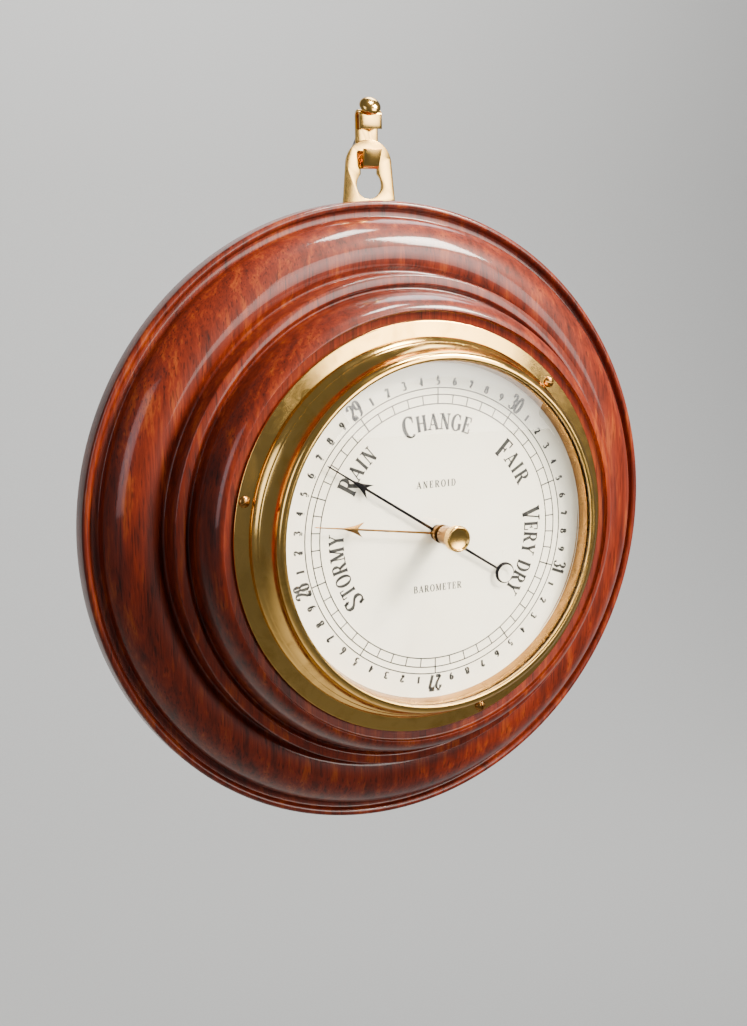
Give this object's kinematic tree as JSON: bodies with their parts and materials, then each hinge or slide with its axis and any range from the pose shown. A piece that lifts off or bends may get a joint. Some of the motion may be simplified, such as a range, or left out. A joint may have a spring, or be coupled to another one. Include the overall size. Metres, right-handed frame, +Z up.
{
  "type": "aneroid barometer",
  "caption": "Wall-hung ship's aneroid barometer: bevelled glass in a brass case with a dial, two hands and a set knob, on a turned mahogany board with a keyhole hanger.",
  "frame": {"origin": "centre of the board's flat back face, on the dial's axis", "axes": "+Z up, the dial faces -Y, +X to the right of someone facing the dial"},
  "size_m": [0.254, 0.0902, 0.2945],
  "materials": {
    "mahogany": "french polished mahogany",
    "polished_brass": "polished",
    "aged_brass": "dull, lacquered",
    "movement_brass": "brushed",
    "blued_steel": "blued, satin",
    "steel": "bright",
    "nickel_silver": "rolled, matt",
    "dial_enamel": "off-white, satin",
    "glass": "clear, bevelled",
    "packing": "matt"
  },
  "bodies": {
    "wall_fixing": {"wall_hook": "polished_brass", "hook_pin": "steel", "hook_pin_head": "polished_brass"},
    "pressure_indicator": {"pressure_hand": "blued_steel", "hand_arbor": "steel"},
    "set_indicator": {"set_hand": "polished_brass", "set_arbor": "aged_brass", "set_knob": "polished_brass"},
    "lever": {"main_lever": "steel", "lever_screws": "steel", "lever_link": "steel"},
    "rocker": {"rocking_bar": "steel"},
    "capsule_top": {"capsule_upper": "nickel_silver", "capsule_post": "movement_brass", "knife_edge": "steel"},
    "adjuster": {"adjusting_screw": "steel"},
    "barometer": {"backboard": "mahogany", "hanger_plate": "polished_brass", "hanger_screws": "steel", "case": "polished_brass", "flange_screws": "aged_brass", "bezel": "polished_brass", "glass": "glass", "glass_packing": "packing", "sight_ring": "aged_brass", "dial_plate": "dial_enamel", "glass_bush": "aged_brass", "bush_nut": "aged_brass", "base_plate": "movement_brass", "base_plate_screws": "steel", "capsule_lower": "nickel_silver", "spring_bridge": "movement_brass", "bridge_screws": "steel", "mainspring": "blued_steel", "spring_screws": "steel", "rocking_brackets": "movement_brass", "bracket_screws": "steel", "pivot_screws": "steel", "chain": "steel", "arbor_cage": "movement_brass", "hand_bridge": "movement_brass", "bridge_pillars": "movement_brass", "hand_bridge_screws": "steel", "hairspring": "blued_steel", "dial_pillars": "movement_brass", "dial_screws": "steel"}
  },
  "joints": [
    {"name": "swing", "type": "hinge", "parent": "wall_fixing", "child": "barometer", "pos_m": [0, 0, 0.1396], "axis": [0, 1, 0], "range_deg": [-20, 20]},
    {"name": "hand_turn", "type": "hinge", "parent": "barometer", "child": "pressure_indicator", "pos_m": [0, -0.0536, 0], "axis": [0, 1, 0], "range_deg": [-122, 175], "deforming": ["hairspring", "chain"]},
    {"name": "set_hand_turn", "type": "hinge", "parent": "barometer", "child": "set_indicator", "pos_m": [0, -0.0554, 0], "axis": [0, 1, 0], "continuous": true},
    {"name": "lever_tilt", "type": "hinge", "parent": "barometer", "child": "lever", "pos_m": [0, -0.0326, -0.036], "axis": [1, 0, 0], "range_deg": [-0.6, 0.42], "deforming": ["mainspring"]},
    {"name": "rocking_turn", "type": "hinge", "parent": "barometer", "child": "rocker", "pos_m": [0.006, -0.026, 0.05], "axis": [1, 0, 0], "range_deg": [-6.1, 8.75]},
    {"name": "capsule_breathe", "type": "slide", "parent": "barometer", "child": "capsule_top", "axis": [0, 1, 0], "range_m": [-0.0002606, 0.0003738], "stiffness_N_per_m": 40000, "deforming": ["capsule_upper"]},
    {"name": "adjuster_turn", "type": "hinge", "parent": "barometer", "child": "adjuster", "pos_m": [0, -0.012, 0], "axis": [0, 1, 0], "range_deg": [-180, 180]}
  ],
  "couplings": [
    {"joint": "hand_turn", "follows": "capsule_breathe", "rad_per_m": 8169.9},
    {"joint": "lever_tilt", "follows": "capsule_breathe", "rad_per_m": -27.778},
    {"joint": "rocking_turn", "follows": "capsule_breathe", "rad_per_m": 406.54}
  ]
}
